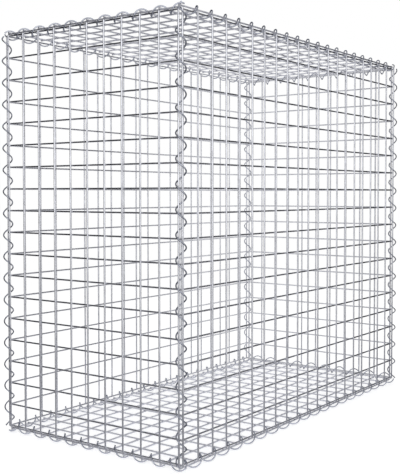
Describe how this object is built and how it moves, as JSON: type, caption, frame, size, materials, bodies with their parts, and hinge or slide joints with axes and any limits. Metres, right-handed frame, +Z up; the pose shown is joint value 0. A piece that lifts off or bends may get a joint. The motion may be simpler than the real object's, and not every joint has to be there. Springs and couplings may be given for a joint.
{
  "type": "empty welded mesh gabion basket",
  "caption": "Empty gabion basket of galvanised welded wire mesh: walls, base and lid laced together along every edge with wire spirals, to be filled with stone.",
  "frame": {"origin": "on the ground, under the middle of the basket", "axes": "+X along the length, +Y through the depth from the front panel to the back panel, +Z up"},
  "size_m": [1.0306, 0.5298, 0.9309],
  "materials": {
    "mesh_zinc": "galvanised, dull",
    "spiral_zinc": "galvanised, dull"
  },
  "bodies": {
    "root": {"front_panel": "mesh_zinc", "back_panel": "mesh_zinc", "left_panel": "mesh_zinc", "right_panel": "mesh_zinc", "lid": "mesh_zinc", "base": "mesh_zinc", "spiral_front_left": "spiral_zinc", "spiral_front_right": "spiral_zinc", "spiral_back_left": "spiral_zinc", "spiral_back_right": "spiral_zinc", "spiral_lid_front": "spiral_zinc", "spiral_lid_back": "spiral_zinc", "spiral_lid_left": "spiral_zinc", "spiral_lid_right": "spiral_zinc", "spiral_base_front": "spiral_zinc", "spiral_base_back": "spiral_zinc", "spiral_base_left": "spiral_zinc", "spiral_base_right": "spiral_zinc"}
  },
  "joints": []
}
